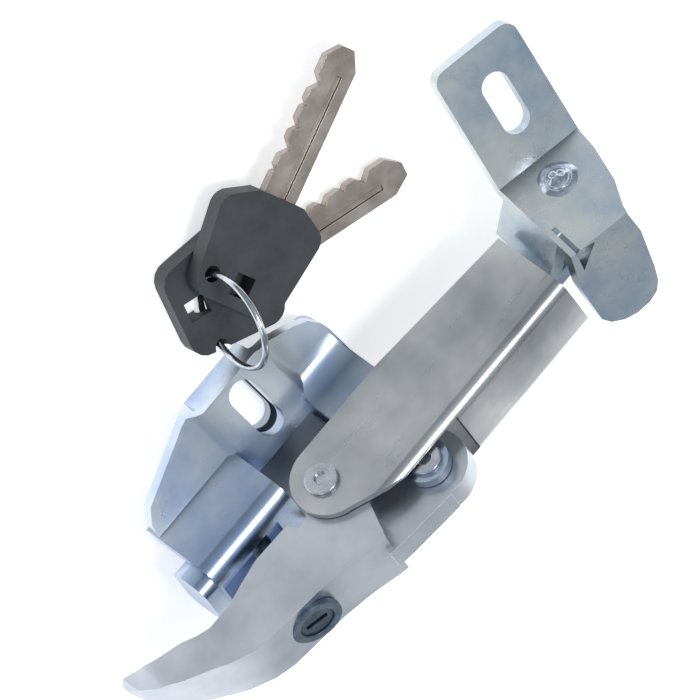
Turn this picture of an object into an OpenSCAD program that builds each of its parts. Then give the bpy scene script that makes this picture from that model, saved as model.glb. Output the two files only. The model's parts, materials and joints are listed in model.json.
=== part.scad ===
// Sprung over-centre hood latch with a locking lever, its catch bracket and two keys.
// X is the pull direction, Z is the normal of the mounting face, and Z = 0 is that face.
// The origin is midway between the two mounting slots.
// Most of the latch is canted about X: u runs along the pull, p along the pins, f to the lever's front.

/* [Sheet metal] */
// Thickness of the base bracket and of the catch bracket
bracket_t = 3; // [2.5:0.1:3.4]
// Thickness of the plate behind the base bracket and of its arm
back_t = 2.5; // [2:0.1:2.8]
// Thickness of the link channel
link_t = 1.6; // [1.4:0.05:1.8]
// Angle between the pins and the mounting face
cant = 30; // [28:1:32]

/* [Mounting] */
// Width of each mounting slot, for an M6 screw
slot_w = 6.3; // [5.5:0.1:7]
// Overall length of each mounting slot
slot_l = 14.8; // [12:0.1:16]
// Height of the raised pad above the mounting face
pad_z = 8.5; // [8:0.1:9]
// How far the pad stands above the wings beside it
pad_rise = 1.4; // [0.8:0.1:1.8]
// Distance between the two slots in the back plate
slot_spacing = 29; // [27:0.5:30]

/* [Lever] */
// Width of the lever casting
lever_w = 14.4; // [13:0.1:14.5]
// Thickness of the lug that turns between the two arms
lug_t = 6; // [5:0.1:6.3]
// Wall of the hollow casting
cast_wall = 2; // [1.6:0.1:2.4]
// Radius of the round end of the lug
lug_r = 8.2; // [7.5:0.1:8.4]

/* [Pins] */
// Radius of the pin that the lever turns on
pivot_pin_r = 2.5; // [2:0.1:3]
// Radius of the rivet that joins the link to the lever
link_pin_r = 2.5; // [2:0.1:3]
// Radius of the head of either pin
head_r = 3.6; // [3.3:0.1:4.2]
// Running clearance of a pin in its bore
pin_fit = 0.05; // [0.02:0.01:0.09]

/* [Link] */
// Overall width of the channel
link_w = 18.2; // [18:0.1:19]
// Distance from the front of the channel to its open back
link_depth = 18.5; // [18:0.5:19.5]
// Length of the channel that has a front
web_l = 33.9; // [32:0.1:34.5]

/* [Draw hook] */
// Radius of the draw rod
rod_r = 3; // [2.5:0.1:3.2]
// Thickness of the hook plate
hook_t = 4; // [3:0.1:4.4]
// Radius of the wire of the draw spring
spring_wire_r = 0.9; // [0.7:0.05:1]
// Coils of the draw spring
spring_turns = 5; // [4:1:6]
// Radius of the stud in the catch bracket
stud_r = 2.7; // [2.4:0.1:2.9]

/* [Lock] */
// Radius of the face of the lock
lock_face_r = 5.8; // [5.5:0.1:6.2]
// Radius of the barrel that is pressed into the lever
barrel_r = 5; // [4.6:0.1:5.2]
// Radius of the turning plug
plug_r = 3.9; // [3.6:0.1:4]
// Reach of the cam from the axis of the lock
cam_reach = 6; // [5.5:0.1:6.3]
// Thickness of the cam
cam_t = 1.8; // [1.4:0.1:2]

/* [Catch] */
// Width of the tab of the catch bracket
tab_w = 20.6; // [19:0.1:21.5]
// Length of the tab of the catch bracket
tab_l = 29; // [27:0.5:31]
// Length of the tongue in front of the hook
tongue_l = 32; // [29:0.5:33]

/* [Keys] */
// Length of a key blade
blade_l = 33; // [30:0.5:35]
// Height of a key blade
blade_h = 8; // [7:0.1:8.5]
// Thickness of a key blade
blade_t = 2.2; // [1.8:0.1:2.6]
// Thickness of the plastic bow
bow_t = 4.6; // [4:0.1:5]
// Mean radius of the key ring
ring_r = 10.5; // [10:0.1:11]
// Radius of the wire of the key ring
ring_wire_r = 0.7; // [0.5:0.05:0.8]

/* [Hidden] */
round_fn = 64;
seat_gap = 0.3;
eps = 0.01;
far = 200;

// Places of the pins on the canted u and f axes, and the middle of the latch along p
pivot_pin = [-19, 34];
link_pin = [-35, 20.8];
mid_p = 4.7;
stud_u = 39.6;

// Link channel
link_front = 34.5;
link_top = stud_u - 14.1;
link_near = mid_p + link_w / 2;
link_far = mid_p - link_w / 2;
leg_near = link_near - link_t;
leg_far = link_far + link_t;
web_low = link_top - web_l;
link_corner_r = 2.6;
link_back = link_front - link_depth;
ear_r = 8.4;
ear_centre = [-33.6, 21.6];
ear_back = link_back - 2.8;

// Arms beside the lug
arm_gap = 0.3;
arm_near = mid_p + lug_t / 2 + arm_gap;
arm_far = mid_p - lug_t / 2 - arm_gap;
arm_end_r = 5;
arm_root = [-23.5, -9.5];
root_step = 0.3;

// Base bracket
pad_x = [-39.8, -22.6];
pad_mid_x = (pad_x[0] + pad_x[1]) / 2;
wing_z = pad_z - pad_rise;
ramp = 2.6;
slot_y = 14.4;
slot_x = pad_mid_x - 0.2;
skirt_y = 23;
hat_x = [-64, -41];
hat_near = 13.5;
hat_far = -5;
hat_front = 15.6;
hat_corner_r = 4;
foot_edge_y = 4.3;
arm_bend_r = 8;
lip_end = -67.5;
lip_low = 6;
lip_inset = 2.2;

// Draw hook
rod_f = 25;
rod_low = -4;
rod_top = link_top + 0.5;
nut_t = 3.4;
nut_r = 4.6;
collar_t = 1.4;
seat_u = link_top - 6;
seat_t = 2.2;
bush_wall = 1.2;
bush_flange = 1;
spring_r = rod_r + 0.5 + spring_wire_r;
stud_f = 19.1;
jaw_gap = 0.6;
tip_t = 3;

// Lock, on an axis square to the front of the lever
lock_tilt = 15;
lock_face = [-57.5, 36.1];
lock_flange_t = 1.3;
barrel_l = 15;
plug_l = 18;
shaft_r = 2.2;
cam_depth = 26.2;
cam_w = 4.8;
clip_t = 0.8;
keyway = [5, 1.2, 8];
wafer_t = 0.9;
wafers = 5;
wafer_pitch = 2.1;
cam_window = [-63.4, -46.2];
cam_window_w = cam_w + 1.4;

// Catch bracket: left end of its first bend, and its turn about Z
catch_origin = [stud_u - 6.8, 10.1, 19.3];
catch_turn = -12.8;
wall_h = 23;
blob_at = [10, 6.5];
stud_l = 16.5;
flange_w = 10.5;
flange_turn = -25;

// Keys, one on top of the other, turning about the holes in their bows
key_turns = [-18.4, 17.8];
key_z = [0, bow_t + seat_gap];
bow_holes = [[-24.8, 37.4], [-16.2, 35.4]];
bow_half_w = 12.5;
bow_l = 24;
hole_from_end = 4.6;
ring_centre = [-22.6, 33.2, 11.4];
ring_turn = 154;
ring_tilt = 82;
ring_play = 1;

function arc(c, r, a0, a1, n) = [for (i = [0:n]) c + r * [cos(a0 + (a1 - a0) * i / n), sin(a0 + (a1 - a0) * i / n)]];

// Puts the origin midway between the slots
module datum() {
    translate([-slot_x, slot_spacing / 2 - slot_y, 0]) children();
}

// The canted frame: x, y and z of what follows are u, p and f
module canted() {
    rotate([cant, 0, 0]) children();
}

// A flat outline drawn on u and f, from one p to another
module across(p0, p1) {
    translate([0, p1, 0]) rotate([90, 0, 0]) linear_extrude(p1 - p0) children();
}

// A flat outline drawn on p and f, from one u to another
module along(u0, u1) {
    translate([u0, 0, 0]) rotate([90, 0, 90]) linear_extrude(u1 - u0) children();
}

// A round bar along p
module pin_across(at, r, p0, p1) {
    translate([at[0], p1, at[1]]) rotate([90, 0, 0]) cylinder(r = r, h = p1 - p0, $fn = round_fn);
}

module rounded_rect(low, high, r) {
    translate([low[0] + r, low[1]]) square([high[0] - low[0] - 2 * r, high[1] - low[1]]);
    translate([low[0], low[1] + r]) square([high[0] - low[0], high[1] - low[1] - 2 * r]);
    for (x = [low[0] + r, high[0] - r], y = [low[1] + r, high[1] - r]) {
        translate([x, y]) circle(r, $fn = round_fn);
    }
}

// A mounting slot, long along y
module slot_cut(at, z0, z1) {
    reach = (slot_l - slot_w) / 2;
    translate([at[0], at[1], z0]) linear_extrude(z1 - z0) {
        translate([-slot_w / 2, -reach]) square([slot_w, 2 * reach]);
        for (y = [-reach, reach]) translate([0, y]) circle(slot_w / 2, $fn = round_fn);
    }
}

// Everything below the mounting face
module below_mount() {
    translate([-far, -far, -2 * far]) cube([2 * far, 2 * far, 2 * far]);
}

// Outline of the base bracket's foot, seen along Z
module foot_outline() {
    polygon([[hat_x[0], 10], [hat_x[0] + 1, 14.5], [hat_x[0] + 3.4, 17.4], [-44.6, 23.9], [-42.8, 24.4],
        [-41.2, 23.4], [pad_x[0], skirt_y], [pad_x[1] - 1, skirt_y], [-14.4, 19.2], [-11.4, 17.4], [-9.8, 14.6],
        [arm_root[1], 12.6], [arm_root[1], foot_edge_y], [hat_x[1], foot_edge_y], [hat_x[1], 8]]);
}

// The foot in side view: two wings with the raised pad between them
module foot_side() {
    low = wing_z - bracket_t;
    polygon([[hat_x[0] - 2, wing_z], [pad_x[0] - ramp, wing_z], [pad_x[0], pad_z], [pad_x[1], pad_z],
        [pad_x[1] + ramp, wing_z], [0, wing_z], [0, low], [pad_x[1] + ramp, low], [pad_x[1], low + pad_rise],
        [pad_x[0], low + pad_rise], [pad_x[0] - ramp, low], [hat_x[0] - 2, low]]);
}

module foot() {
    intersection() {
        translate([0, 30, 0]) rotate([90, 0, 0]) linear_extrude(30) foot_side();
        linear_extrude(20) foot_outline();
    }
    translate([pad_x[0], skirt_y - bracket_t, 0]) cube([pad_x[1] - pad_x[0] - 1, bracket_t, pad_z - bracket_t / 2]);
}

// The box section that the closed lever lies over
module hat() {
    difference() {
        canted() union() {
            difference() {
                along(hat_x[0], hat_x[1]) rounded_rect([hat_far, -30], [hat_near, hat_front], hat_corner_r);
                along(hat_x[0] - 1, hat_x[1] + 1) rounded_rect([hat_far + bracket_t, -40],
                    [hat_near - bracket_t, hat_front - bracket_t], hat_corner_r - bracket_t);
                translate([cam_window[0], mid_p - cam_window_w / 2, hat_front - 2 * bracket_t])
                    cube([cam_window[1] - cam_window[0], cam_window_w, 3 * bracket_t]);
            }
            along(lip_end, hat_x[0]) rounded_rect([hat_far + lip_inset, lip_low],
                [hat_near - lip_inset, hat_front - seat_gap], bracket_t);
        }
        below_mount();
        // The near wall stops at the foot
        translate([hat_x[0] - 5, foot_edge_y, -far]) cube([hat_x[1] - hat_x[0] + 6, far, far + wing_z - bracket_t]);
    }
}

// One arm in side view, from below the foot to its round end at the pivot pin
module arm_side() {
    translate(pivot_pin) circle(arm_end_r, $fn = round_fn);
    shoulder = arm_end_r - 0.4;
    polygon([[arm_root[0], -10], [pivot_pin[0] - shoulder, pivot_pin[1]], [pivot_pin[0] + shoulder, pivot_pin[1]],
        [arm_root[1] - root_step, 14], [arm_root[1] - root_step, -10]]);
}

module near_arm() {
    corner_p = arm_near + back_t;
    corner_f = (wing_z - corner_p * sin(cant)) / cos(cant);
    corner_y = corner_p * cos(cant) - corner_f * sin(cant);
    reach = arm_bend_r * tan(cant);
    difference() {
        canted() across(arm_near, corner_p) arm_side();
        translate([-far, -far, -far]) cube([2 * far, 2 * far, far + wing_z - bracket_t]);
        canted() pin_across(pivot_pin, pivot_pin_r, -far, far);
    }
    // The round inside of the bend
    difference() {
        along(arm_root[0] + root_step, arm_root[1] - 2 * root_step) polygon([[corner_y - 1, wing_z - eps], [corner_y + reach, wing_z - eps],
            [corner_y - reach * sin(cant), wing_z + reach * cos(cant)],
            [corner_y - reach * sin(cant) - 1, wing_z + reach * cos(cant) - 0.6]]);
        translate([arm_root[0] - 1, corner_y + reach, wing_z + arm_bend_r]) rotate([0, 90, 0])
            cylinder(r = arm_bend_r, h = arm_root[1] - arm_root[0] + 2, $fn = round_fn);
    }
}

module base_bracket() {
    datum() color("lightsteelblue") difference() {
        union() {
            foot();
            hat();
            near_arm();
        }
        slot_cut([slot_x, slot_y], -1, pad_z + 1);
    }
}

// Plate under the pad, with both slots and the far arm
module back_plate() {
    edge_y = skirt_y - bracket_t;
    datum() color("lightslategray") difference() {
        union() {
            linear_extrude(back_t) rounded_rect([pad_x[0], slot_y - slot_spacing - 9], [arm_root[1], edge_y - 4], 3);
            translate([pad_x[0], edge_y - 8, 0]) cube([pad_x[1] - pad_x[0] - 1, 8, back_t]);
            canted() across(arm_far - back_t, arm_far) arm_side();
        }
        below_mount();
        for (y = [slot_y, slot_y - slot_spacing]) slot_cut([slot_x, y], -1, back_t + 1);
        canted() pin_across(pivot_pin, pivot_pin_r, -far, far);
    }
}

module pivot_pin() {
    near = arm_near + back_t;
    low = arm_far - back_t;
    datum() color("gainsboro") canted() {
        pin_across(pivot_pin, pivot_pin_r, low - 1, near);
        difference() {
            pin_across(pivot_pin, head_r, near, near + 1);
            pin_across(pivot_pin, pivot_pin_r - 1, near + 0.5, near + 2);
        }
        pin_across(pivot_pin, head_r, low - 1, low);
    }
}

// Thin washers in the running gaps beside the lug
module pivot_washers() {
    inset = 0.04;
    datum() color("silver") canted() for (p0 = [arm_far + inset, mid_p + lug_t / 2 + inset]) difference() {
        pin_across(pivot_pin, head_r + 0.8, p0, p0 + arm_gap - 2 * inset);
        pin_across(pivot_pin, pivot_pin_r + pin_fit, p0 - 1, p0 + 1);
    }
}

// The lever in side view, without its lug
module lever_side() {
    polygon([[-36.6, 39.8], [-39, 39.2], [-45.5, 37.2], [-52.2, 35.8], [-61, 34.8], [-66, 34.2], [-70.5, 33], [-75.5, 30.4],
        [-80.3, 26.7], [-84.2, 23.7], [-87.6, 20.3], [-90.2, 16.2], [-91.4, 12.6], [-91.2, 11.4], [-90, 11.6],
        [-87, 14], [-83.5, 16], [-78.2, 18.4], [-75, 20.4], [-72.2, 21.6], [-66, 21.9], [-61.5, 20.9], [-55.7, 19.9],
        [-46.4, 20.2], [-45.4, 22.6], [-42.6, 22.6], [-41.2, 19.6], [-38, 15.2], [-35, 14.4], [-31, 15.6],
        [-29.2, 19.6], [-30.4, 26], [-33.6, 33.4]]);
}

module lug_side() {
    translate(pivot_pin) circle(lug_r, $fn = round_fn);
    polygon([[-38, 40.4], [-34, 41], [-21, pivot_pin[1] + lug_r], [-14.6, 27.1], [-20, 25.6], [-30, 18], [-38, 20]]);
}

// The plan of the lever, narrowing to its tip
module lever_plan() {
    half = lever_w / 2;
    tip_half = 2.6;
    polygon([[0, mid_p - half], [0, mid_p + half], [-66, mid_p + half], [-78, mid_p + half - 0.8],
        [-86, mid_p + half - 2.2], [-90.4, mid_p + tip_half], [-91.6, mid_p], [-90.4, mid_p - tip_half],
        [-86, mid_p - half + 2.2], [-78, mid_p - half + 0.8], [-66, mid_p - half]]);
}

// The lock's own axis: its face is at z = 0 and it reaches down to -z
module lock_frame() {
    canted() translate([lock_face[0], mid_p, lock_face[1]]) rotate([0, -lock_tilt, 0]) children();
}

module lever_body() {
    half = lever_w / 2;
    datum() color("silver") difference() {
        union() {
            canted() difference() {
                intersection() {
                    across(mid_p - half, mid_p + half) lever_side();
                    linear_extrude(60) lever_plan();
                }
                across(mid_p - half + cast_wall, mid_p + half - cast_wall) polygon([[-44.6, 0], [-44.6, 33],
                    [-60, 32], [-69, 30.4], [-74.5, 26.6], [-74.5, 0]]);
            }
            canted() across(mid_p - lug_t / 2, mid_p + lug_t / 2) lug_side();
            intersection() {
                lock_frame() translate([0, 0, -barrel_l]) cylinder(r = barrel_r + 1.6, h = barrel_l, $fn = round_fn);
                canted() across(mid_p - half, mid_p + half) lever_side();
            }
        }
        lock_frame() translate([0, 0, -far]) cylinder(r = barrel_r, h = 2 * far, $fn = round_fn);
        lock_frame() translate([0, 0, -lock_flange_t]) cylinder(r = lock_face_r, h = far, $fn = round_fn);
        canted() pin_across(pivot_pin, pivot_pin_r + pin_fit, -far, far);
        canted() pin_across(link_pin, link_pin_r, -far, far);
    }
}

// The channel in side view, with its round ears
module link_side() {
    translate(ear_centre) circle(ear_r, $fn = round_fn);
    polygon([[link_top, link_back], [link_top, link_front], [-22.9, link_front], [-28.3, 33.2], [-37.9, 28.8],
        [-39.5, 15.7], [ear_centre[0], ear_back], [-10, ear_back]]);
}

module link_channel() {
    datum() color("lightgray") canted() difference() {
        intersection() {
            difference() {
                along(-50, link_top) rounded_rect([link_far, 0], [link_near, link_front], link_corner_r);
                along(-60, link_top + 1) rounded_rect([leg_far, -10], [leg_near, link_front - link_t],
                    link_corner_r - link_t);
            }
            across(link_far, link_near) link_side();
        }
        translate([-far + web_low, leg_far, -far]) cube([far, leg_near - leg_far, 2 * far]);
        pin_across(link_pin, link_pin_r + pin_fit, -far, far);
    }
}

module link_rivet() {
    datum() color("gainsboro") canted() {
        pin_across(link_pin, link_pin_r, link_far - seat_gap, link_near + seat_gap);
        difference() {
            pin_across(link_pin, head_r, link_near + pin_fit, link_near + 1);
            pin_across(link_pin, link_pin_r - 1.2, link_near + 0.4, link_near + 2);
        }
        pin_across(link_pin, head_r, link_far - 1, link_far - pin_fit);
    }
}

// Thin washers between the ears and the lever
module link_washers() {
    gap = leg_near - mid_p - lever_w / 2;
    inset = gap / 6;
    near = leg_near - gap + inset;
    low = leg_far + inset;
    datum() color("silver") canted() for (p0 = [near, low]) difference() {
        pin_across(link_pin, head_r + 1, p0, p0 + gap - 2 * inset);
        pin_across(link_pin, link_pin_r + pin_fit, p0 - 1, p0 + 1);
    }
}

// Cross plate that the spring pushes on
module spring_seat() {
    inside = link_front - link_t;
    corner = link_corner_r - link_t;
    datum() color("lightgray") canted() difference() {
        along(seat_u, seat_u + seat_t) polygon([[leg_far, link_back + 1], [leg_near, link_back + 1],
            [leg_near, inside - corner], [leg_near - corner, inside], [leg_far + corner, inside],
            [leg_far, inside - corner]]);
        translate([seat_u - 1, mid_p, rod_f]) rotate([0, 90, 0])
            cylinder(r = rod_r + pin_fit + bush_wall, h = seat_t + 2, $fn = round_fn);
    }
}

module guide_bush() {
    datum() color("ivory") canted() translate([seat_u - bush_flange, mid_p, rod_f]) rotate([0, 90, 0]) difference() {
        union() {
            cylinder(r = rod_r + pin_fit + bush_wall, h = seat_t + bush_flange, $fn = round_fn);
            cylinder(r = spring_r + spring_wire_r + 0.6, h = bush_flange, $fn = round_fn);
        }
        translate([0, 0, -1]) cylinder(r = rod_r + pin_fit, h = seat_t + bush_flange + 2, $fn = round_fn);
    }
}

module draw_rod() {
    datum() color("slategray") canted() translate([rod_low, mid_p, rod_f]) rotate([0, 90, 0])
        cylinder(r = rod_r, h = rod_top - rod_low, $fn = round_fn);
}

// A collar with its nut, that the spring bears on at the low end of the rod
module spring_collar() {
    datum() color("silver") canted() translate([rod_low + nut_t, mid_p, rod_f]) rotate([0, 90, 0]) difference() {
        cylinder(r = spring_r + spring_wire_r + 0.6, h = collar_t, $fn = round_fn);
        translate([0, 0, -1]) cylinder(r = rod_r, h = collar_t + 2, $fn = round_fn);
    }
}

module rod_nut() {
    datum() color("gainsboro") canted() translate([rod_low, mid_p, rod_f]) rotate([0, 90, 0]) difference() {
        cylinder(r = nut_r, h = nut_t, $fn = 6);
        translate([0, 0, -1]) cylinder(r = rod_r, h = nut_t + 2, $fn = round_fn);
    }
}

// Compression spring: a round wire swept along a helix
module draw_spring() {
    from = rod_low + nut_t + collar_t + spring_wire_r;
    to = seat_u - bush_flange - spring_wire_r;
    sides = 8;
    steps = spring_turns * 16;
    pitch_angle = atan((to - from) / spring_turns / (2 * PI * spring_r));
    rings = [for (i = [0:steps]) let (a = 360 * spring_turns * i / steps, u = from + (to - from) * i / steps)
        for (j = [0:sides - 1]) let (b = 360 * j / sides, out = spring_r + spring_wire_r * cos(b),
            tip = spring_wire_r * sin(b))
            [u + tip * cos(pitch_angle), mid_p + out * cos(a) + tip * sin(pitch_angle) * sin(a),
                rod_f + out * sin(a) - tip * sin(pitch_angle) * cos(a)]];
    sides_faces = [for (i = [0:steps - 1], j = [0:sides - 1]) [i * sides + j, i * sides + (j + 1) % sides,
        (i + 1) * sides + (j + 1) % sides, (i + 1) * sides + j]];
    ends = [[for (j = [sides - 1:-1:0]) j], [for (j = [0:sides - 1]) steps * sides + j]];
    datum() color("darkgray") canted() polyhedron(points = rings, faces = concat(sides_faces, ends), convexity = 10);
}

// Hook plate, welded to the end of the rod, that drops over the stud
module draw_hook() {
    neck_r = rod_r + 0.6;
    under = stud_f + stud_r + seat_gap;
    inside = stud_u + stud_r + jaw_gap;
    datum() color("slategray") canted() across(mid_p - hook_t / 2, mid_p + hook_t / 2) polygon([[rod_top, rod_f - neck_r + 0.8],
        [rod_top, rod_f + neck_r - 0.6], [inside - 1, rod_f + neck_r - 0.6], [inside + tip_t - 0.8, rod_f + 1],
        [inside + tip_t, rod_f - 2], [inside + tip_t - 0.6, stud_f - 3], [inside, stud_f - 3], [inside, under],
        [rod_top + 5, under]]);
}

module catch_frame() {
    translate(catch_origin) rotate([0, 0, catch_turn]) children();
}

// Tongue outline on the catch's own x and p axes
module tongue_outline() {
    end = -tongue_l;
    polygon([[0, 0], [14.7, 0], [16.4, end + 23.6], [16.8, end + 10], [16.6, end + 5], [15.6, end + 2], [13.4, end + 0.4],
        [10.2, end], [7, end + 1], [4, end + 3.4], [2.2, end + 6.4], [0.9, end + 14], [0, end + 20]]);
}

module catch_bracket() {
    corner_r = 3;
    datum() color("lightsteelblue") catch_frame() difference() {
        union() {
            translate([0, 0, -bracket_t]) linear_extrude(bracket_t) union() {
                rounded_rect([0, tab_l / 2], [tab_w, tab_l], corner_r);
                translate([0, -bracket_t * tan(cant)]) square([tab_w, tab_l - corner_r + bracket_t * tan(cant)]);
            }
            rotate([cant, 0, 0]) {
                across(-bracket_t, 0) polygon([[0, -bracket_t / 2], [tab_w, -bracket_t / 2], [tab_w - 0.6, 6],
                    [tab_w - 2.6, 15], [15.3, wall_h - 2], [14.8, wall_h], [0, wall_h]]);
                translate([0, 0, wall_h - bracket_t]) linear_extrude(bracket_t) tongue_outline();
                translate([0, 0, 1.6]) rotate([0, 0, flange_turn]) translate([0, -flange_w, 0])
                    cube([bracket_t, flange_w, wall_h - bracket_t - 3]);
            }
        }
        // Relief where the three bends meet
        rotate([cant, 0, 0]) translate([2.9, -1.6, wall_h - 8]) linear_extrude(12)
            polygon([[-1.6, 1.9], [3.2, 0.6], [-1.0, -5.4]]);
        slot_cut([tab_w / 2 + 0.3, tab_l / 2], -bracket_t - 1, 1);
        rotate([cant, 0, 0]) pin_across(blob_at, stud_r - 0.4, -far, far);
    }
}

// Stud in the catch: its shoulder bears on the inside and its end is peened over on the outside
module catch_stud() {
    datum() color("darkgray") catch_frame() rotate([cant, 0, 0]) {
        pin_across(blob_at, stud_r, -stud_l, -bracket_t);
        pin_across(blob_at, stud_r - 0.4, -bracket_t - eps, 0.5);
        pin_across(blob_at, stud_r, 0, 0.6);
    }
}

module lock_barrel() {
    datum() color("slategray") lock_frame() difference() {
        union() {
            translate([0, 0, -barrel_l]) cylinder(r = barrel_r, h = barrel_l, $fn = round_fn);
            translate([0, 0, -lock_flange_t]) cylinder(r = lock_face_r, h = lock_flange_t, $fn = round_fn);
        }
        translate([0, 0, -far]) cylinder(r = plug_r + pin_fit, h = 2 * far, $fn = round_fn);
    }
}

module wafer_blocks(extra) {
    size = [2 * plug_r - 2.2, 2 * plug_r - 4.4, wafer_t];
    for (i = [0:wafers - 1]) translate([0, 0, -4 - i * wafer_pitch])
        cube([size[0] + extra, size[1] + extra, size[2] + extra], center = true);
}

module lock_plug() {
    datum() color("dimgray") lock_frame() difference() {
        union() {
            translate([0, 0, -plug_l]) cylinder(r = plug_r, h = plug_l - 0.4, $fn = round_fn);
            translate([0, 0, -cam_depth]) cylinder(r = shaft_r, h = cam_depth - plug_l + 1, $fn = round_fn);
        }
        translate([-keyway[0] / 2, -keyway[1] / 2, -2.4]) cube(keyway);
        wafer_blocks(0.04);
        translate([0, 0, -cam_depth - 1]) cylinder(r = 1, h = 5, $fn = round_fn);
    }
}

module lock_wafers() {
    datum() color("goldenrod") lock_frame() wafer_blocks(0);
}

// Spring clip under the barrel that keeps the plug in
module lock_clip() {
    datum() color("darkgray") lock_frame() translate([0, 0, -barrel_l - clip_t - seat_gap]) difference() {
        cylinder(r = plug_r + 0.9, h = clip_t, $fn = round_fn);
        translate([0, 0, -1]) cylinder(r = plug_r, h = clip_t + 2, $fn = round_fn);
    }
}

// Cam that turns under the hat's front to lock the lever
module lock_cam() {
    datum() color("silver") lock_frame() translate([0, 0, -cam_depth - cam_t]) difference() {
        linear_extrude(cam_t) union() {
            circle(cam_w / 2, $fn = round_fn);
            translate([-cam_reach, -cam_w / 2]) square([cam_reach, cam_w]);
        }
        translate([0, 0, -1]) cylinder(r = 1, h = cam_t + 2, $fn = round_fn);
    }
}

module cam_screw() {
    datum() color("gainsboro") lock_frame() {
        translate([0, 0, -cam_depth - cam_t]) cylinder(r = 1, h = cam_t + 3.6, $fn = round_fn);
        translate([0, 0, -cam_depth - cam_t - 1]) cylinder(r = 1.9, h = 1, $fn = round_fn);
    }
}

// A key's own frame: the hole in its bow is at the origin and its blade points to +x
module key_frame(i) {
    translate([bow_holes[i][0], bow_holes[i][1], key_z[i]]) rotate([0, 0, key_turns[i]]) children();
}

// The wire of the key ring, or the room around it
module ring_loop(wire_r) {
    translate(ring_centre) rotate([0, 0, ring_turn]) rotate([0, ring_tilt, 0]) rotate_extrude($fn = round_fn)
        translate([ring_r, 0]) circle(wire_r, $fn = 16);
}

module key_bow(i) {
    start = -hole_from_end;
    end = start + bow_l;
    datum() color("darkslategray") difference() {
        key_frame(i) linear_extrude(bow_t) polygon(concat(arc([start + 4, bow_half_w - 6], 4, 180, 90, 4),
            arc([end - 6, bow_half_w - 4], 4, 90, 40, 3), [[end, 5.5], [end, -5.5]],
            arc([end - 6, 4 - bow_half_w], 4, -40, -90, 3), arc([start + 4, 6 - bow_half_w], 4, -90, -180, 4)));
        key_frame(i) translate([-2.2, -2.2, -1]) cube([4.8, 4.4, bow_t + 2]);
        key_frame(i) translate([end - 7, -blade_h / 2, (bow_t - blade_t) / 2]) cube([8, blade_h, blade_t]);
        ring_loop(ring_wire_r + ring_play);
    }
}

// Blade with a plain tip and an even row of cuts
module key_blade(i) {
    end = bow_l - hole_from_end;
    cuts = 5;
    pitch = (blade_l - 9) / cuts;
    datum() color("tan") key_frame(i) translate([end, 0, (bow_t - blade_t) / 2]) difference() {
        linear_extrude(blade_t) polygon([[-7, -blade_h / 2], [blade_l - 4, -blade_h / 2], [blade_l, -blade_h / 5],
            [blade_l, blade_h / 6], [blade_l - 3, blade_h / 2], [-7, blade_h / 2]]);
        for (k = [0:cuts - 1]) translate([5 + k * pitch, blade_h / 2 + 1.4 - 0.5 * ((k * 2) % 3), -1])
            cylinder(r = 2.2, h = blade_t + 2, $fn = 4);
        translate([0, -1.4, blade_t - 0.5]) cube([blade_l - 6, 1.2, 1]);
    }
}

module key_blade_1() {
    key_blade(0);
}

module key_bow_1() {
    key_bow(0);
}

module key_blade_2() {
    key_blade(1);
}

module key_bow_2() {
    key_bow(1);
}

module key_ring() {
    datum() color("silver") ring_loop(ring_wire_r);
}

base_bracket();
back_plate();
pivot_pin();
pivot_washers();
lever_body();
link_channel();
link_rivet();
link_washers();
spring_seat();
guide_bush();
draw_rod();
draw_spring();
spring_collar();
rod_nut();
draw_hook();
catch_bracket();
catch_stud();
lock_barrel();
lock_plug();
lock_wafers();
lock_clip();
lock_cam();
cam_screw();
key_blade_1();
key_bow_1();
key_blade_2();
key_bow_2();
key_ring();
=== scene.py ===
import json
import math
import bpy
import bmesh
from mathutils import Matrix, Vector


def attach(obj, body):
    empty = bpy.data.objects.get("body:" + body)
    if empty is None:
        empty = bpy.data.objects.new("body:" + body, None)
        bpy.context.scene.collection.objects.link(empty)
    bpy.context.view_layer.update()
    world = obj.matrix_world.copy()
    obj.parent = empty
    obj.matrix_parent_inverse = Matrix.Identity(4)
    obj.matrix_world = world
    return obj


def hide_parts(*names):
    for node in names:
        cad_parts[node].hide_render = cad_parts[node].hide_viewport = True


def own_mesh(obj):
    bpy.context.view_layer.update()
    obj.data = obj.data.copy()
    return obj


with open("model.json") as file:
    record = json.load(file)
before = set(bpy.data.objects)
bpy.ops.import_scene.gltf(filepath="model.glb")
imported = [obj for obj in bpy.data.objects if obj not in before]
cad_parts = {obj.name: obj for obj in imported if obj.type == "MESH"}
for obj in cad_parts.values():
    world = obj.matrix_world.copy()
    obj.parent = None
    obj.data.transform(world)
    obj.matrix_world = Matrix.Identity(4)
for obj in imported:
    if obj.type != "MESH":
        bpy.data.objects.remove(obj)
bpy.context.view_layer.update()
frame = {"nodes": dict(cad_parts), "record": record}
record = frame["record"]
body_of = {node: body for body, nodes in record["behaviour"]["bodies"].items() for node in nodes}
scene = bpy.context.scene
mm_per_m = 1000

# Base bracket and back plate: steel sheet of 3 mm and 2.5 mm, cut, folded and zinc plated.
# Two M6 screws through their slots hold them to the panel, and the pivot pin goes through their arms.
# The first uses of the colour, node, material and edge functions are here, so they are defined here.


# An sRGB hex code as linear red, green, blue and alpha, by the curve of the sRGB standard.
def colour(code):
    parts = [int(code[k:k + 2], 16) / 255 for k in (1, 3, 5)]
    return [p / 12.92 if p < 0.04045 else ((p + 0.055) / 1.055) ** 2.4 for p in parts] + [1]


# One shader node with its settings, its values and what feeds it.
def add(tree, kind, settings=None, values=None, links=None):
    made = tree.nodes.new(kind)
    for key, value in (settings or {}).items():
        setattr(made, key, value)
    for key, value in (values or {}).items():
        made.inputs[key].default_value = value
    for key, source in (links or {}).items():
        tree.links.new(source, made.inputs[key])
    return made


# A material with an empty node tree.
def blank(name):
    made = bpy.data.materials.new(name)
    made.use_nodes = True
    made.node_tree.nodes.clear()
    return made, made.node_tree


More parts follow.
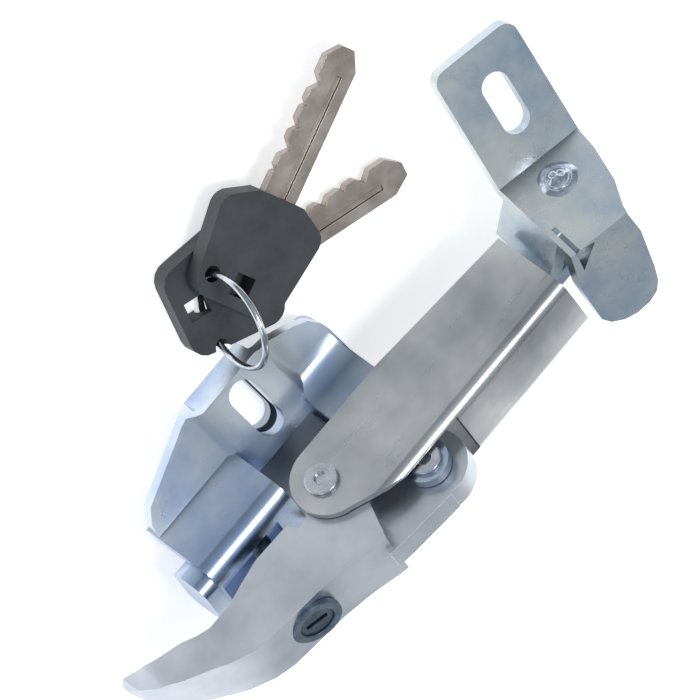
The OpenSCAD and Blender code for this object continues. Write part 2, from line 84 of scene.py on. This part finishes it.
# A surface whose tone drifts between two colours in patches, while a finer grain gives it relief and
# makes its gloss uneven. A stretch below 1 along an axis draws the grain out into lines that way.
def mottled(name, tones, rough, patch_mm, grain_mm, relief_mm, metallic=1.0, stretch=(1, 1, 1)):
    patch_span = (0.36, 0.64)
    grain_span = (0.3, 0.7)
    made, tree = blank(name)
    where = add(tree, "ShaderNodeTexCoord").outputs["Object"]
    drawn = add(tree, "ShaderNodeMapping", values={"Scale": stretch}, links={"Vector": where}).outputs[0]
    patch = add(tree, "ShaderNodeTexNoise",
                values={"Scale": mm_per_m / patch_mm, "Detail": 4, "Roughness": 0.55},
                links={"Vector": where}).outputs[0]
    grain = add(tree, "ShaderNodeTexNoise",
                values={"Scale": mm_per_m / grain_mm, "Detail": 3, "Roughness": 0.6},
                links={"Vector": drawn}).outputs[0]
    ramp = add(tree, "ShaderNodeValToRGB", links={"Fac": patch})
    for end, position, tone in zip(ramp.color_ramp.elements, patch_span, tones):
        end.position = position
        end.color = colour(tone)
    gloss = add(tree, "ShaderNodeMapRange",
                values={"From Min": grain_span[0], "From Max": grain_span[1],
                        "To Min": rough[0], "To Max": rough[1]},
                links={"Value": grain}).outputs[0]
    bump = add(tree, "ShaderNodeBump", values={"Strength": 0.6, "Distance": relief_mm / mm_per_m},
               links={"Height": grain})
    principled = add(tree, "ShaderNodeBsdfPrincipled", values={"Metallic": metallic},
                     links={"Base Color": ramp.outputs[0], "Roughness": gloss, "Normal": bump.outputs[0]})
    add(tree, "ShaderNodeOutputMaterial", links={"Surface": principled.outputs[0]})
    return made


# A copy of a CAD node with soft edges, which stands for it in the look. Its flat faces are joined
# first, so that the edges that are rounded are the real ones.
def soften(node, material, edge_mm, steps=3, sharp_deg=32):
    weld_m = 2e-6
    flat_deg = 0.6
    source = frame["nodes"][node]
    mesh = source.data.copy()
    made = bpy.data.objects.new(node + "_soft", mesh)
    scene.collection.objects.link(made)
    made.matrix_world = source.matrix_world
    shape = bmesh.new()
    shape.from_mesh(mesh)
    bmesh.ops.remove_doubles(shape, verts=shape.verts, dist=weld_m)
    bmesh.ops.dissolve_limit(shape, angle_limit=math.radians(flat_deg), verts=shape.verts, edges=shape.edges)
    bmesh.ops.recalc_face_normals(shape, faces=shape.faces)
    for face in shape.faces:
        face.smooth = True
    for edge in shape.edges:
        edge.smooth = len(edge.link_faces) == 2 and edge.calc_face_angle(0) < math.radians(sharp_deg)
    shape.to_mesh(mesh)
    shape.free()
    mesh.materials.clear()
    mesh.materials.append(material)
    if edge_mm:
        rounding = made.modifiers.new("edges", "BEVEL")
        rounding.width = edge_mm / mm_per_m
        rounding.segments = steps
        rounding.limit_method = "ANGLE"
        rounding.angle_limit = math.radians(sharp_deg)
        rounding.use_clamp_overlap = True
        rounding.harden_normals = True
    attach(made, body_of[node])
    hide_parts(node)
    return made


# Blue-white zinc plate: clearly bluer where the plating is thick, in patches of about 22 mm.
zinc_blue = mottled("zinc_blue", tones=("#a0b6d6", "#d3dae0"), rough=(0.27, 0.32),
                    patch_mm=22, grain_mm=3.0, relief_mm=0.006)
soften("base_bracket", zinc_blue, edge_mm=0.7)
# The same plating with the bracket's shade painted into its colour: darker and greyer, as painted shade.
zinc_plate_painted_shade = mottled("zinc_plate_painted_shade", tones=("#a0adbd", "#afb4ba"), rough=(0.3, 0.36),
                     patch_mm=20, grain_mm=3.0, relief_mm=0.006)
soften("back_plate", zinc_plate_painted_shade, edge_mm=0.4)

# Catch bracket: the same 3 mm sheet, folded into a slotted tab, a wall, a tongue and a flange.
# Its zinc plate is a little glossier, and pale grey between the blue patches.
zinc_catch = mottled("zinc_catch", tones=("#9fb3c6", "#ced3d2"), rough=(0.26, 0.31),
                     patch_mm=20, grain_mm=3.0, relief_mm=0.006)
soften("catch_bracket", zinc_catch, edge_mm=0.6)

# Link channel and spring seat: 1.6 mm sheet folded into a U, with a plate across it for the spring.
# The bright zinc plate is nearly neutral, with faint rolling lines along the channel. Real rolling
# lines are finer than 0.1 mm, so they are drawn at 1.4 mm to show.
zinc_link = mottled("zinc_link", tones=("#a4a8ad", "#e2e3e2"), rough=(0.26, 0.36),
                    patch_mm=34, grain_mm=1.4, relief_mm=0.008, stretch=(0.12, 1, 1))
soften("link_channel", zinc_link, edge_mm=0.35)
soften("spring_seat", zinc_link, edge_mm=0.2)

# Lever: one die casting that turns on the pivot pin and holds the lock and the link's rivet.
# The satin skin is paler than the sheet and hardly blue, and its fine pearled grain, drawn at 0.5 mm
# to show, scatters the light softly. A casting has no sharp edge, so its edges are rounded.
cast_skin = mottled("cast_skin", tones=("#bcc1ca", "#d8dbe0"), rough=(0.28, 0.36),
                    patch_mm=18, grain_mm=0.5, relief_mm=0.012, metallic=0.95)
soften("lever_body", cast_skin, edge_mm=0.7, steps=4)

# Pins and washers: turned steel, zinc plated, with heads that hold the arms and the ears.
# The turned faces shine evenly, with a grain drawn at 0.4 mm. The washers are plain and darker.
turned = mottled("turned_steel", tones=("#b9bec6", "#d3d6da"), rough=(0.24, 0.36),
                 patch_mm=4, grain_mm=0.4, relief_mm=0.02)
for pin in ("pivot_pin", "link_rivet"):
    soften(pin, turned, edge_mm=0.25, steps=2)


# A CAD node that is shown as it is, in its material.
def paint(node, material):
    shown = frame["nodes"][node]
    for held in shown.material_slots:
        held.material = material


washer = mottled("washer_steel", tones=("#8f959c", "#a7abb0"), rough=(0.3, 0.42),
                 patch_mm=4, grain_mm=0.3, relief_mm=0.015)
for ring in ("pivot_washers", "link_washers", "spring_collar"):
    paint(ring, washer)

# Stud of the catch: a steel pin through the bracket's wall, with its end peened over on the outside.
# The hammer leaves it a low, bright dome with three dents near its middle and a groove inside its rim.
# The dome's sizes are in millimetres, along and square to the wall, from the bracket's own origin.
peened = mottled("peened_steel", tones=("#b8c6da", "#dfe6ee"), rough=(0.16, 0.3),
                 patch_mm=2, grain_mm=0.8, relief_mm=0.08)
soften("catch_stud", peened, edge_mm=0.2, steps=2)
catch_origin_m = (0.0642, 0.0102, 0.0193)
catch_turn_deg = -12.8
catch_cant_deg = 30
catch_place = (Matrix.Translation(catch_origin_m) @ Matrix.Rotation(math.radians(catch_turn_deg), 4, "Z")
               @ Matrix.Rotation(math.radians(catch_cant_deg), 4, "X"))
dome_along = 10
dome_up = 6.5
dome_rings = 10
dome_sides = 40
dome_reach = 4.2
dome_height = 1.25
dome_lift = 0.02
groove_depth = 0.4
groove_at = 0.6
groove_width = 0.14
dent_depth = 0.35
dent_at = 0.25
dent_width = 0.12
blows = 3
blow_spread = 0.04
blow_start = 1
rim_waves = 7
rim_spread = 0.02


# How deep a soft groove is, from 0 to 1, at a share of the dome's reach.
def groove(share, at, width):
    return math.exp(-((share - at) / width) ** 2)


dome_shape = bmesh.new()
rows = []
for k in range(dome_rings + 1):
    share = k / dome_rings
    top = dome_lift + dome_height * (1 - share ** 2) - groove_depth * groove(share, groove_at, groove_width)
    rows.append([])
    for j in range(dome_sides if k else 1):
        angle = 2 * math.pi * j / dome_sides
        lobes = blow_spread * math.sin(blows * angle + blow_start)
        waves = rim_spread * math.sin(rim_waves * angle)
        spread = dome_reach * share * (1 + lobes + waves)
        dent = dent_depth * groove(share, dent_at, dent_width) * (0.5 + 0.5 * math.cos(blows * angle))
        along = dome_along + spread * math.cos(angle)
        up = dome_up + spread * math.sin(angle)
        point = Vector((along, top - dent, up))
        rows[k].append(dome_shape.verts.new(catch_place @ (point / mm_per_m)))
for k in range(dome_rings):
    for j in range(dome_sides):
        after = (j + 1) % dome_sides
        if k == 0:
            corners = [rows[0][0], rows[1][after], rows[1][j]]
        else:
            corners = [rows[k][j], rows[k][after], rows[k + 1][after], rows[k + 1][j]]
        dome_shape.faces.new(corners).smooth = True
bmesh.ops.recalc_face_normals(dome_shape, faces=dome_shape.faces)
dome_mesh = bpy.data.meshes.new("peened_dome")
dome_shape.to_mesh(dome_mesh)
dome_shape.free()
dome_mesh.materials.append(peened)
dome = bpy.data.objects.new("peened_dome", dome_mesh)
scene.collection.objects.link(dome)
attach(dome, "catch")

# Lock: a barrel held in the lever, its plug with brass wafers and a spring clip, and the cam and screw.
# Barrel and plug have a dark satin plating that mirrors little, the stamped brass is dull, and the clip
# is darker than the plated steel of the cam and its screw. The draw rod's nut is that steel too.
lock_skin = mottled("lock_skin", tones=("#4f6070", "#6b7d8c"), rough=(0.3, 0.44),
                    patch_mm=3, grain_mm=0.3, relief_mm=0.02, metallic=0.85)
soften("lock_barrel", lock_skin, edge_mm=0.25, steps=2)
plug_skin = mottled("plug_skin", tones=("#3f4d59", "#5b6b78"), rough=(0.32, 0.46),
                    patch_mm=3, grain_mm=0.3, relief_mm=0.02, metallic=0.85)
soften("lock_plug", plug_skin, edge_mm=0.12, steps=2)
brass = mottled("wafer_brass", tones=("#9a8148", "#b89a5a"), rough=(0.3, 0.42),
                patch_mm=2, grain_mm=0.3, relief_mm=0.01)
paint("lock_wafers", brass)
spring_wire = mottled("spring_wire", tones=("#6f747a", "#8b9096"), rough=(0.24, 0.36),
                      patch_mm=3, grain_mm=0.25, relief_mm=0.01)
paint("lock_clip", spring_wire)
cam_steel = mottled("cam_steel", tones=("#a0a8b4", "#bcc2c9"), rough=(0.26, 0.4),
                    patch_mm=4, grain_mm=0.3, relief_mm=0.02)
soften("lock_cam", cam_steel, edge_mm=0.2, steps=2)
screw_steel = mottled("screw_steel", tones=("#a4a9b0", "#c1c4c8"), rough=(0.24, 0.36),
                      patch_mm=3, grain_mm=0.25, relief_mm=0.015)
for screw in ("cam_screw", "rod_nut"):
    soften(screw, screw_steel, edge_mm=0.2, steps=2)

# Draw gear inside the channel: a drawn rod with a hook plate, the coil spring that pulls it in, and
# the bush that guides it. The rod has lines along its length from the drawing, the hook plate is
# duller, and the moulded nylon bush is cream and matt.
rod_steel = mottled("rod_steel", tones=("#868d96", "#a0a6ad"), rough=(0.22, 0.34),
                    patch_mm=5, grain_mm=0.3, relief_mm=0.015, stretch=(0.1, 1, 1))
soften("draw_rod", rod_steel, edge_mm=0.3, steps=2)
round_deg = 60
coil = soften("draw_spring", spring_wire, edge_mm=0, sharp_deg=round_deg)
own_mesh(coil)
hook_steel = mottled("hook_steel", tones=("#8794a6", "#a5acb5"), rough=(0.28, 0.4),
                     patch_mm=8, grain_mm=0.5, relief_mm=0.03)
soften("draw_hook", hook_steel, edge_mm=0.35)
bush_plastic = mottled("bush_plastic", tones=("#d3cdbb", "#ded9ca"), rough=(0.5, 0.62),
                       patch_mm=5, grain_mm=0.4, relief_mm=0.02, metallic=0.0)
soften("guide_bush", bush_plastic, edge_mm=0.2, steps=2)

# Keys: stamped blades with bows moulded over them, both on one ring of bright wire.
# The bows are near-black plastic with a fine moulded grain and soft corners. The nickel plate of the
# blades is warm grey and a little worn, and the drawn wire of the ring is the glossiest metal here.
bow_skin = mottled("bow_skin", tones=("#35383b", "#43474b"), rough=(0.5, 0.64),
                   patch_mm=8, grain_mm=0.3, relief_mm=0.03, metallic=0.0)
for bow in ("key_bow_1", "key_bow_2"):
    soften(bow, bow_skin, edge_mm=0.9, steps=4)
nickel = mottled("nickel", tones=("#978c84", "#b5aca6"), rough=(0.28, 0.42),
                 patch_mm=7, grain_mm=0.4, relief_mm=0.02)
for blade in ("key_blade_1", "key_blade_2"):
    soften(blade, nickel, edge_mm=0.15, steps=2)
ring_wire = mottled("ring_wire", tones=("#a9adb3", "#d0d3d6"), rough=(0.12, 0.24),
                    patch_mm=4, grain_mm=0.4, relief_mm=0.008)
soften("key_ring", ring_wire, edge_mm=0, sharp_deg=round_deg)

# White table: a matt board just under the part. It glows a little, so that it stays white in plain
# light and still takes the part's soft shadow.
table_half = 2
table_z = -0.0003
table_glow = 0.55
table_corners = [(-table_half, -table_half, table_z), (table_half, -table_half, table_z),
                 (table_half, table_half, table_z), (-table_half, table_half, table_z)]
table_mesh = bpy.data.meshes.new("table")
table_mesh.from_pydata(table_corners, [], [range(len(table_corners))])
table = bpy.data.objects.new("table", table_mesh)
scene.collection.objects.link(table)
table_skin, tree = blank("table_skin")
lit = add(tree, "ShaderNodeBsdfDiffuse", values={"Color": colour("#ffffff")})
glow = add(tree, "ShaderNodeEmission", values={"Color": colour("#ffffff"), "Strength": table_glow})
both = add(tree, "ShaderNodeAddShader", links={0: lit.outputs[0], 1: glow.outputs[0]})
add(tree, "ShaderNodeOutputMaterial", links={"Surface": both.outputs[0]})
table_mesh.materials.append(table_skin)

# Light of a photo tent: a sky that is bright overhead and greyer at the sides, and three soft lamps,
# of which the left one is cool and the back one warm.
sky_ends = ((0.0, "#8d959d"), (0.75, "#e4ebf2"))
sky_strength = 0.55
sky = bpy.data.worlds.new("sky")
sky.use_nodes = True
sky.node_tree.nodes.clear()
tree = sky.node_tree
where = add(tree, "ShaderNodeTexCoord").outputs["Generated"]
height = add(tree, "ShaderNodeSeparateXYZ", links={"Vector": where}).outputs["Z"]
fade = add(tree, "ShaderNodeValToRGB", links={"Fac": height})
for end, (position, tone) in zip(fade.color_ramp.elements, sky_ends):
    end.position = position
    end.color = colour(tone)
light = add(tree, "ShaderNodeBackground", values={"Strength": sky_strength}, links={"Color": fade.outputs[0]})
add(tree, "ShaderNodeOutputWorld", links={"Surface": light.outputs[0]})
scene.world = sky
looks_at = Vector((0.0206, 0.0103, 0.015))
lamp_distance = 0.7


# A square lamp that faces the part from a direction.
def lamp(name, direction, width_m, watts, tint):
    data = bpy.data.lights.new(name, "AREA")
    data.shape = "SQUARE"
    data.size = width_m
    data.energy = watts
    data.color = colour(tint)[:3]
    made = bpy.data.objects.new(name, data)
    scene.collection.objects.link(made)
    away = Vector(direction).normalized()
    place = Matrix.Translation(looks_at + away * lamp_distance)
    made.matrix_world = place @ away.to_track_quat("Z", "Y").to_matrix().to_4x4()


lamp("lamp_top", direction=(0.05, 0.0, 1.0), width_m=0.22, watts=1.7, tint="#ffffff")
lamp("lamp_left", direction=(-0.9, 0.1, 0.6), width_m=0.3, watts=0.7, tint="#e6efff")
lamp("lamp_back", direction=(0.7, -0.7, 0.5), width_m=0.25, watts=0.5, tint="#fffaf0")

# Camera: without perspective, from the side that the photo was taken from and turned as it was.
to_camera = Vector((-0.122, 0.496, 0.859)).normalized()
about_up = Vector((0.759, 0.604, -0.241))
picture_right = about_up.cross(to_camera).normalized()
picture_up = to_camera.cross(picture_right)
picture_width = 0.14
camera_distance = 0.6
camera_data = bpy.data.cameras.new("camera")
camera_data.type = "ORTHO"
camera_data.ortho_scale = picture_width
camera_data.clip_end = 5
camera = bpy.data.objects.new("camera", camera_data)
scene.collection.objects.link(camera)
turn = Matrix((picture_right, picture_up, to_camera)).transposed().to_4x4()
camera.matrix_world = Matrix.Translation(looks_at + to_camera * camera_distance) @ turn
scene.camera = camera
scene.view_settings.view_transform = "Standard"
